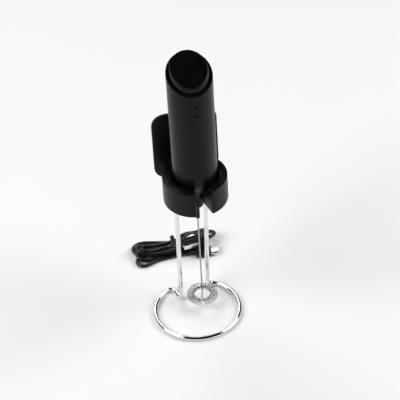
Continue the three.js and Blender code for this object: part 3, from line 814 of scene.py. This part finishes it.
def make_tie():
    """A flat wire tie round the hank, its ends twisted together at the back."""
    path = np.array(rectangle(*TIE_SIZE, 3.4, 10))
    centre = np.array(TIE_MIDDLE)
    count = len(path)
    rings = []
    for i in range(count):
        ahead = path[(i + 1) % count] - path[i - 1]
        outward = np.array([ahead[1], -ahead[0]]) / np.linalg.norm(ahead)
        rings.append([(TIE_X + x, *(centre + path[i] + outward * out)) for x, out in TIE_SECTION])
    faces = grid_faces(count, len(TIE_SECTION), close_rows=True)
    band = new_mesh("tie", world(np.concatenate(rings)), faces)
    rings = []
    for t in np.linspace(0, 1, 36):
        ring = []
        turn = t * TWIST_TURNS * 2 * math.pi
        for a in np.linspace(0, 2 * math.pi, 14, endpoint=False):
            wide, thin = TWIST_WIDE * math.cos(a), TWIST_THIN * math.sin(a)
            ring.append((TIE_X - 0.4 + wide * math.cos(turn) - thin * math.sin(turn),
                         TWIST_FROM[0] + TWIST_REACH[0] * t + wide * math.sin(turn) + thin * math.cos(turn),
                         TWIST_FROM[1] + TWIST_REACH[1] * t))
        rings.append(ring)
    stand_for(weld_on(band, solid("twist", rings)), "cable_tie")


make_tie()
make_plugs()
make_port()

# ---------------------------------------------------------------- charging lead
CORD_R = 1.5
CORD_D = 2 * CORD_R
TIE_Y = (59.2, 74.8)              # where the tie holds the lead's middle line
TIE_Z = (2.4, 8.0)
TIE_REACH = 2.2                   # to each side of the tie
LEAD_STEP = 1.5                   # between the points of the lead
# The lead's ends, at the small plug and at the large one.
LEAD_C = [(3.9, 57.7, 2.9), (1.5, 58, 2.8), (-1, 58.3, 2.7), (-4, 58.6, 2.6)]
LEAD_A = [
    (22.6, 65.8, 8.8), (24.8, 66.6, 8.6), (26.6, 68.3, 8.1), (27.6, 70.7, 7.3), (27.5, 73.3, 6.2),
    (26.3, 75.6, 5.1), (24.2, 77.2, 4), (21.7, 77.8, 3.1), (19.2, 77.6, 2.5),
]
TO_FIRST_LOOP = [(-8, 59.4, 2.6), (-13, 60.6, 1.8), (-19, 60.0, 1.6), (-25, 57.8, 1.6)]
TO_LARGE_PLUG = [(3, 77.4, 3.4), (9, 79.8, 1.6), (14.5, 79.6, 1.6)]
# A loop or fold: its middle, its radius, the heights where it starts and ends, and the way it faces.
Bend = namedtuple("Bend", "x y radius start end facing")
# Each turn of the hank: the loop at its left end, where the tie holds the run that leaves it as
# (y, z), the fold at its right end, and where the tie holds the run that comes back.
TURNS = [
    (Bend(-35.4, 59.8, 6.4, 1.6, 1.6, 200), (66.2, 2.4), Bend(17.2, 70.6, 6.4, 1.6, 1.6, 2), (62.9, 2.4)),
    (Bend(-34.4, 75.4, 6.5, 1.6, 1.6, 178), (74.8, 2.4), Bend(16.4, 70.6, 6.4, 4.4, 4.4, 0), (62.4, 4.9)),
    (Bend(-35.0, 65.2, 6.4, 4.6, 4.6, 194), (68.6, 7.8), Bend(15.0, 69.2, 6.2, 10.6, 13.4, 0), (64.0, 8.0)),
    (Bend(-34.0, 74.0, 6.5, 4.7, 4.7, 180), (73.8, 5.2), Bend(15.8, 68.8, 7.6, 7.2, 13.4, 0), (60.6, 7.8)),
]
LAST_LOOP = Bend(-33.4, 71.0, 6.4, 7.5, 7.6, 186)
LAST_RUN = (71.9, 7.6)
ON_PLUG_Z = 10                    # a fold that is higher lies on the large plug
OVER_PLUG = (3, 67.6, 12.7)       # where the run to such a fold passes over the plug's mouth
BACK_OVER_PLUG_Z = 12.9


def bend(x, y, radius, start, end, facing, points=9):
    """A loop or fold, gone round clockwise as seen from above, a little more than half a turn."""
    flat = math.sqrt(radius ** 2 - ((end - start) / 2) ** 2) / radius
    cosine, sine = math.cos(math.radians(facing)), math.sin(math.radians(facing))
    corners = []
    for a in np.radians(np.linspace(108, -108, points)):
        out, aside = radius * math.cos(a), flat * radius * math.sin(a)
        corners.append((x + out * cosine - aside * sine, y + out * sine + aside * cosine,
                        (start + end) / 2 - (end - start) / 2 * math.sin(a)))
    return corners


def lead_route():
    """From the small plug to the large one. The small plug's end enters the first loop."""
    route = LEAD_C + TO_FIRST_LOOP
    for left, back_run, right, front_run in TURNS:
        route += bend(*left) + [(TIE_X, *back_run)]
        if right.start > ON_PLUG_Z:
            route.append(OVER_PLUG)
        route += bend(*right)
        if right.end > ON_PLUG_Z:
            route.append((OVER_PLUG[0], right.y - right.radius + 0.3, BACK_OVER_PLUG_Z))
        route.append((TIE_X, *front_run))
    route += bend(*LAST_LOOP) + [(TIE_X, *LAST_RUN)] + TO_LARGE_PLUG
    return np.array(route + LEAD_A[::-1], float)


def smooth_line(points, step):
    """A Catmull-Rom curve through points, sampled about every step."""
    padded = np.vstack([2 * points[0] - points[1], points, 2 * points[-1] - points[-2]])
    found = []
    # a to d are four points in a row; the curve runs from b to c.
    for a, b, c, d in zip(padded, padded[1:], padded[2:], padded[3:]):
        for t in np.linspace(0, 1, 12, endpoint=False):
            found.append(0.5 * (2 * b + (c - a) * t + (2 * a - 5 * b + 4 * c - d) * t ** 2
                                + (3 * b - a - 3 * c + d) * t ** 3))
    found.append(points[-1])
    found = np.array(found)
    along = np.concatenate([[0], np.cumsum(np.linalg.norm(np.diff(found, axis=0), axis=1))])
    at = np.linspace(0, along[-1], int(along[-1] / step) + 1)
    return np.stack([np.interp(at, along, found[:, k]) for k in range(3)], axis=1)


ROUNDS = 260
CALM_ROUNDS = 40                  # the last rounds neither sink nor return to the route
RETURN = 0.03                     # share of the way back to the route, each round
SINK = 0.03                       # millimetres, each round
STIFF_R = 7.5                     # a tighter bend is straightened more strongly
GENTLE, STRONG = 0.05, 0.45       # share of the way to the neighbours' middle, each time
WAY_OUT = 0.4                     # millimetres, each round, for a point inside a plug
FLOOR_GAP = 0.1
HELD_START, HELD_END = 8, 18      # points that stay where they are, at the small and the large plug
# What the lead lies against: (place, lowest corner, highest corner), drawn along each plug.
OBSTACLES = [
    (PLUG_A, (-12.2, -6, -2.25), (0.3, 6, 2.25)),
    (PLUG_A, (-20.6, -6.7, -3), (-12, 6.7, 3)),
    (PLUG_A, (-23.2, -2.3, -2.3), (-20.4, 2.3, 2.3)),
    (PLUG_C, (-19.2, -5.3, -2.9), (0, 5.3, 2.6)),
    (PLUG_C, (-23, -2.2, -2.2), (-19, 2.2, 2.2)),
]


def pushed_out(at, place, low, high):
    """Moves points that are closer to a plug than the lead's radius straight away from its surface."""
    turn, origin = np.array(place.to_3x3()), np.array(place.translation)
    local = (at - origin) @ turn
    away = local - np.clip(local, low, high)
    distance = np.linalg.norm(away, axis=1)
    close = (distance > 1e-6) & (distance < CORD_R)
    local[close] += away[close] * (CORD_R / distance[close] - 1)[:, None]
    ways_out = np.stack([local[:, 1] - low[1], high[1] - local[:, 1], high[2] - local[:, 2]], axis=1)
    for i in np.flatnonzero(distance <= 1e-6):           # inside the plug: out to the nearer side, or up
        local[i] += [(0, -WAY_OUT, 0), (0, WAY_OUT, 0), (0, 0, WAY_OUT)][int(ways_out[i].argmin())]
    return local @ turn.T + origin


def mean_step(at):
    return np.linalg.norm(np.diff(at, axis=0), axis=1).mean()


def straighten(at, step):
    """Moves each point towards the middle of its neighbours, and further where the bend is tight."""
    pull = (at[:-2] + at[2:]) / 2 - at[1:-1]
    sharp = np.linalg.norm(pull, axis=1)[:, None] / (step ** 2 / 2) - 1 / STIFF_R
    at[1:-1] += pull * np.clip(GENTLE + 6 * sharp, GENTLE, STRONG)


def keep_apart(at, far):
    """Pushes turns that overlap away from each other."""
    between = at[:, None] - at[None]
    distance = np.linalg.norm(between, axis=2) + 1e-9
    press = np.where(far & (distance < CORD_D), (CORD_D - distance) / distance, 0)
    at += 0.3 * (press[:, :, None] * between).sum(axis=1)


def keep_length(at, step):
    """Brings neighbours back to one step from each other, even pairs and odd pairs in turn."""
    for offset in (0, 1, 0, 1):
        a, b = at[offset:-1:2], at[offset + 1::2]
        count = min(len(a), len(b))
        gap = b[:count] - a[:count]
        long = np.linalg.norm(gap, axis=1)[:, None]
        shift = gap * (0.5 * (long - step) / long)
        at[offset:-1:2][:count] += shift
        at[offset + 1::2][:count] -= shift


def hold_in_tie(at):
    in_tie = np.abs(at[:, 0] - TIE_X) < TIE_REACH
    at[in_tie, 1] = np.clip(at[in_tie, 1], *TIE_Y)
    at[in_tie, 2] = np.clip(at[in_tie, 2], *TIE_Z)


def settle(home):
    """Lets the lead lie: it keeps near its route, sinks, straightens, and rests on what it meets."""
    at = home.copy()
    index = np.arange(len(at))
    far = np.abs(index[:, None] - index[None]) > int(math.ceil(1.6 * CORD_D / mean_step(at)))
    held = np.ones(len(at), bool)
    held[HELD_START:-HELD_END] = False
    for number in range(ROUNDS):
        before = at.copy()
        step = mean_step(at)
        for _ in range(2):
            straighten(at, step)
        if number <= ROUNDS - CALM_ROUNDS:
            at[:, :2] += RETURN * (home[:, :2] - at[:, :2])
            at[:, 2] -= SINK
        keep_apart(at, far)
        keep_length(at, step)
        hold_in_tie(at)
        for obstacle in OBSTACLES:
            at = pushed_out(at, *obstacle)
        at[:, 2] = np.maximum(at[:, 2], CORD_R + FLOOR_GAP)
        at[held] = before[held]
    for _ in range(6):
        between = (at[HELD_START - 1:-HELD_END - 1] + at[HELD_START + 1:-HELD_END + 1]) / 2
        at[HELD_START:-HELD_END] += 0.5 * (between - at[HELD_START:-HELD_END])
    return at


def make_lead():
    """The lead's piece, and its length in metres."""
    line = settle(smooth_line(lead_route(), LEAD_STEP))
    curve = bpy.data.curves.new("charging_cable", "CURVE")
    curve.dimensions = "3D"
    curve.bevel_depth = CORD_R * MM
    curve.bevel_resolution = 5
    curve.use_fill_caps = True
    spline = curve.splines.new("POLY")
    spline.points.add(len(line) - 1)
    for place, here in zip(spline.points, world(line)):
        place.co = (*here, 1)
    spline.use_smooth = True
    piece = bpy.data.objects.new("charging_cable", curve)
    bpy.context.scene.collection.objects.link(piece)
    stand_for(piece, "cable_hank", "cable_lead_a", "cable_lead_c")
    return piece, float(np.linalg.norm(np.diff(line, axis=0), axis=1).sum()) * MM


cable, cable_length = make_lead()

# ---------------------------------------------------------------- finish
for name, node in frame["nodes"].items():
    if not node.hide_render:
        node.data.materials.clear()
        node.data.materials.append(LOOKS[SLOT_OF[name]])


FLOOR_REACH = 3.0
LIGHT_AIM = (0, 0, 0.05)
LIGHT_SIZE = 1.5
LIGHTS = {                        # place and power
    "left": ((-1.5, -0.25, 1.25), 28),
    "right": ((1.5, -0.25, 1.25), 27),
    "behind": ((-0.3, 1.7, 1.6), 17),
}


def make_floor():
    corners = [(x * FLOOR_REACH, y * FLOOR_REACH, 0) for x, y in ((-1, -1), (1, -1), (1, 1), (-1, 1))]
    floor = new_mesh("floor", corners, [(0, 1, 2, 3)])
    floor.data.materials.append(Surface("floor", (0.95, 0.95, 0.95), 0.6).mottled(0.3, 0.004).material)


def area_light(name, place, power):
    data = bpy.data.lights.new(name, "AREA")
    data.shape = "DISK"
    data.size = LIGHT_SIZE
    data.energy = power
    light = bpy.data.objects.new(name, data)
    light.location = place
    light.rotation_euler = (Vector(LIGHT_AIM) - Vector(place)).to_track_quat("-Z", "Y").to_euler()
    bpy.context.scene.collection.objects.link(light)


def make_sky():
    """Bright walls to the sides and behind, dark overhead and in front."""
    sky = bpy.data.worlds.new("studio")
    sky.use_nodes = True
    tree = sky.node_tree

    def ranged(source, low, high, at_low, at_high):
        node = tree.nodes.new("ShaderNodeMapRange")
        node.interpolation_type = "SMOOTHSTEP"
        for name, value in zip(("From Min", "From Max", "To Min", "To Max"), (low, high, at_low, at_high)):
            node.inputs[name].default_value = value
        tree.links.new(source, node.inputs["Value"])
        return node.outputs["Result"]

    place = tree.nodes.new("ShaderNodeTexCoord")
    parts = tree.nodes.new("ShaderNodeSeparateXYZ")
    tree.links.new(place.outputs["Generated"], parts.inputs["Vector"])
    overhead = ranged(parts.outputs["Z"], 0.35, 0.85, 1.25, 0.06)
    in_front = ranged(parts.outputs["Y"], -0.85, -0.35, 0.03, 1.0)
    both = tree.nodes.new("ShaderNodeMath")
    both.operation = "MULTIPLY"
    tree.links.new(overhead, both.inputs[0])
    tree.links.new(in_front, both.inputs[1])
    tree.links.new(both.outputs["Value"], tree.nodes["Background"].inputs["Strength"])
    bpy.context.scene.world = sky


def make_light():
    bpy.context.scene.view_settings.view_transform = "Standard"
    make_sky()
    for name, (place, power) in LIGHTS.items():
        area_light(name, place, power)


make_floor()
make_light()
